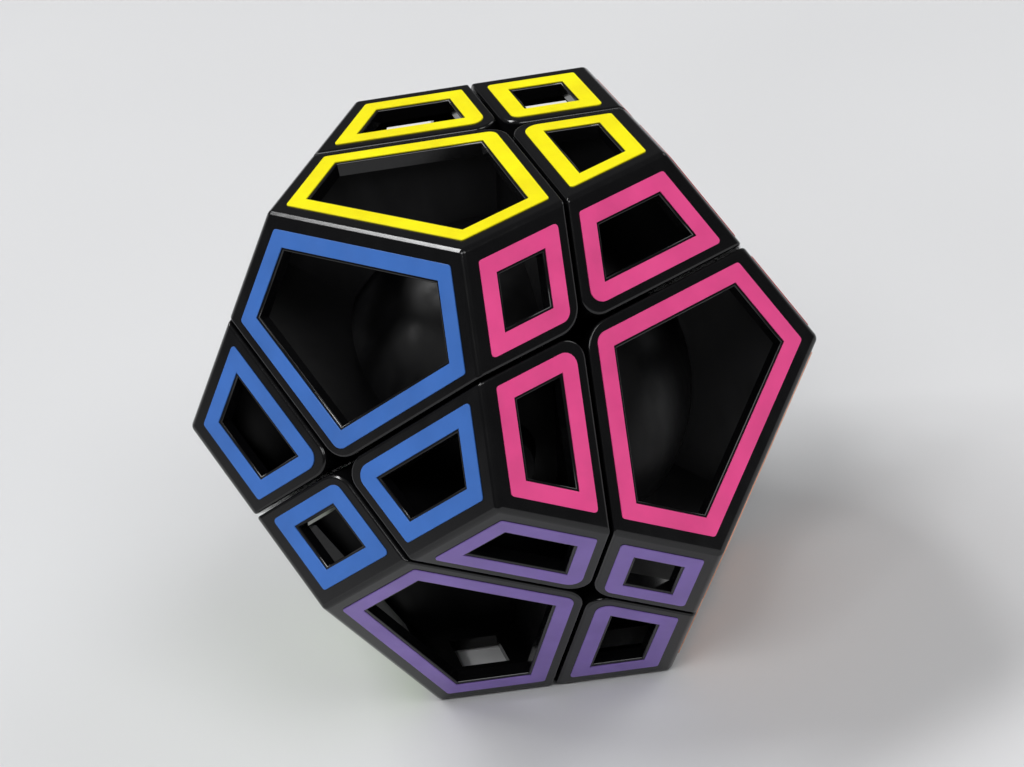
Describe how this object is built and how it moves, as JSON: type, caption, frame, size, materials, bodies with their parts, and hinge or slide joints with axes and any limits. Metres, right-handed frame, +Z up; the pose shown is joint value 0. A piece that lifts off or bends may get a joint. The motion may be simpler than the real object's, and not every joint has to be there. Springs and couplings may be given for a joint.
{
  "type": "dodecahedron twisty puzzle",
  "caption": "Twelve-sided twisty puzzle with hollow framed pieces that turn about corner axes around one sprung core.",
  "frame": {"origin": "centre of the puzzle, where all turning axes meet", "axes": "+Z up out of the yellow face, perpendicular to the face it stands on; -Y towards the blue face, which shares an edge with the yellow one"},
  "size_m": [0.082, 0.0862, 0.07],
  "materials": {
    "black_plastic": "glossy moulded ABS",
    "inner_plastic": "smooth moulded ABS",
    "core_plastic": "moulded nylon",
    "steel": "zinc plated",
    "frame_yellow": "thin coloured vinyl frame",
    "frame_orange": "thin coloured vinyl frame",
    "frame_sky_blue": "thin coloured vinyl frame",
    "frame_white": "thin coloured vinyl frame",
    "frame_red": "thin coloured vinyl frame",
    "frame_green": "thin coloured vinyl frame",
    "frame_blue": "thin coloured vinyl frame",
    "frame_lime": "thin coloured vinyl frame",
    "frame_pink": "thin coloured vinyl frame",
    "frame_grey": "thin coloured vinyl frame",
    "frame_purple": "thin coloured vinyl frame",
    "frame_peach": "thin coloured vinyl frame"
  },
  "bodies": {
    "core": {"core": "core_plastic", "screw_a": "steel", "screw_b": "steel", "screw_c": "steel", "screw_d": "steel", "spring_a": "steel", "spring_b": "steel", "spring_c": "steel", "spring_d": "steel", "washer_a": "steel", "washer_b": "steel", "washer_c": "steel", "washer_d": "steel"},
    "corner_a": {"corner_a_shell": "black_plastic", "corner_a_base": "inner_plastic", "corner_a_frames": "frame_yellow"},
    "floating_a": {"floating_a_shell": "black_plastic", "floating_a_base": "inner_plastic", "floating_a_frames": "frame_grey"},
    "corner_b": {"corner_b_shell": "black_plastic", "corner_b_base": "inner_plastic", "corner_b_frames": "frame_white"},
    "floating_b": {"floating_b_shell": "black_plastic", "floating_b_base": "inner_plastic", "floating_b_frames": "frame_sky_blue"},
    "corner_c": {"corner_c_shell": "black_plastic", "corner_c_base": "inner_plastic", "corner_c_frames": "frame_green"},
    "floating_c": {"floating_c_shell": "black_plastic", "floating_c_base": "inner_plastic", "floating_c_frames": "frame_yellow"},
    "corner_d": {"corner_d_shell": "black_plastic", "corner_d_base": "inner_plastic", "corner_d_frames": "frame_blue"},
    "floating_d": {"floating_d_shell": "black_plastic", "floating_d_base": "inner_plastic", "floating_d_frames": "frame_orange"},
    "centre_1": {"centre_1_shell": "black_plastic", "centre_1_base": "inner_plastic", "centre_1_frames": "frame_yellow"},
    "centre_2": {"centre_2_shell": "black_plastic", "centre_2_base": "inner_plastic", "centre_2_frames": "frame_blue"},
    "centre_3": {"centre_3_shell": "black_plastic", "centre_3_base": "inner_plastic", "centre_3_frames": "frame_orange"},
    "centre_4": {"centre_4_shell": "black_plastic", "centre_4_base": "inner_plastic", "centre_4_frames": "frame_red"},
    "centre_5": {"centre_5_shell": "black_plastic", "centre_5_base": "inner_plastic", "centre_5_frames": "frame_yellow"},
    "centre_6": {"centre_6_shell": "black_plastic", "centre_6_base": "inner_plastic", "centre_6_frames": "frame_white"}
  },
  "joints": [
    {"name": "turn_a", "type": "hinge", "parent": "core", "child": "corner_a", "pos_m": [0, 0, 0], "axis": [-0.5774, 0.1876, 0.7947], "continuous": true},
    {"name": "turn_b", "type": "hinge", "parent": "core", "child": "corner_b", "pos_m": [0, 0, 0], "axis": [0.5774, 0.7947, -0.1876], "range_deg": [-360, 360]},
    {"name": "turn_c", "type": "hinge", "parent": "core", "child": "corner_c", "pos_m": [0, 0, 0], "axis": [-0.5774, -0.1876, -0.7947], "range_deg": [-360, 360]},
    {"name": "turn_d", "type": "hinge", "parent": "core", "child": "corner_d", "pos_m": [0, 0, 0], "axis": [0.5774, -0.7947, 0.1876], "range_deg": [-360, 360]},
    {"name": "centre_1_on_b", "type": "hinge", "parent": "corner_a", "child": "centre_1", "pos_m": [0, 0, 0], "axis": [0.5774, 0.7947, -0.1876], "range_deg": [-360, 360]},
    {"name": "centre_3_on_c", "type": "hinge", "parent": "corner_a", "child": "centre_3", "pos_m": [0, 0, 0], "axis": [-0.5774, -0.1876, -0.7947], "range_deg": [-360, 360]},
    {"name": "centre_5_on_d", "type": "hinge", "parent": "corner_a", "child": "centre_5", "pos_m": [0, 0, 0], "axis": [0.5774, -0.7947, 0.1876], "range_deg": [-360, 360]},
    {"name": "centre_2_on_d", "type": "hinge", "parent": "corner_c", "child": "centre_2", "pos_m": [0, 0, 0], "axis": [0.5774, -0.7947, 0.1876], "range_deg": [-360, 360]},
    {"name": "centre_4_on_d", "type": "hinge", "parent": "corner_b", "child": "centre_4", "pos_m": [0, 0, 0], "axis": [0.5774, -0.7947, 0.1876], "range_deg": [-360, 360]},
    {"name": "centre_6_on_c", "type": "hinge", "parent": "corner_b", "child": "centre_6", "pos_m": [0, 0, 0], "axis": [-0.5774, -0.1876, -0.7947], "range_deg": [-360, 360]},
    {"name": "floating_d_on_c", "type": "hinge", "parent": "centre_1", "child": "floating_d", "pos_m": [0, 0, 0], "axis": [-0.5774, -0.1876, -0.7947], "range_deg": [-360, 360]},
    {"name": "floating_c_on_d", "type": "hinge", "parent": "centre_1", "child": "floating_c", "pos_m": [0, 0, 0], "axis": [0.5774, -0.7947, 0.1876], "range_deg": [-360, 360]},
    {"name": "floating_b_on_d", "type": "hinge", "parent": "centre_3", "child": "floating_b", "pos_m": [0, 0, 0], "axis": [0.5774, -0.7947, 0.1876], "range_deg": [-360, 360]},
    {"name": "floating_a_on_d", "type": "hinge", "parent": "centre_6", "child": "floating_a", "pos_m": [0, 0, 0], "axis": [0.5774, -0.7947, 0.1876], "range_deg": [-360, 360]}
  ],
  "couplings": [
    {"joint": "centre_1_on_b", "follows": "turn_b", "ratio": 1},
    {"joint": "centre_3_on_c", "follows": "turn_c", "ratio": 1},
    {"joint": "centre_5_on_d", "follows": "turn_d", "ratio": 1},
    {"joint": "centre_2_on_d", "follows": "turn_d", "ratio": 1},
    {"joint": "centre_4_on_d", "follows": "turn_d", "ratio": 1},
    {"joint": "centre_6_on_c", "follows": "turn_c", "ratio": 1},
    {"joint": "floating_d_on_c", "follows": "turn_c", "ratio": 1},
    {"joint": "floating_c_on_d", "follows": "turn_d", "ratio": 1},
    {"joint": "floating_b_on_d", "follows": "turn_d", "ratio": 1},
    {"joint": "floating_a_on_d", "follows": "turn_d", "ratio": 1}
  ]
}
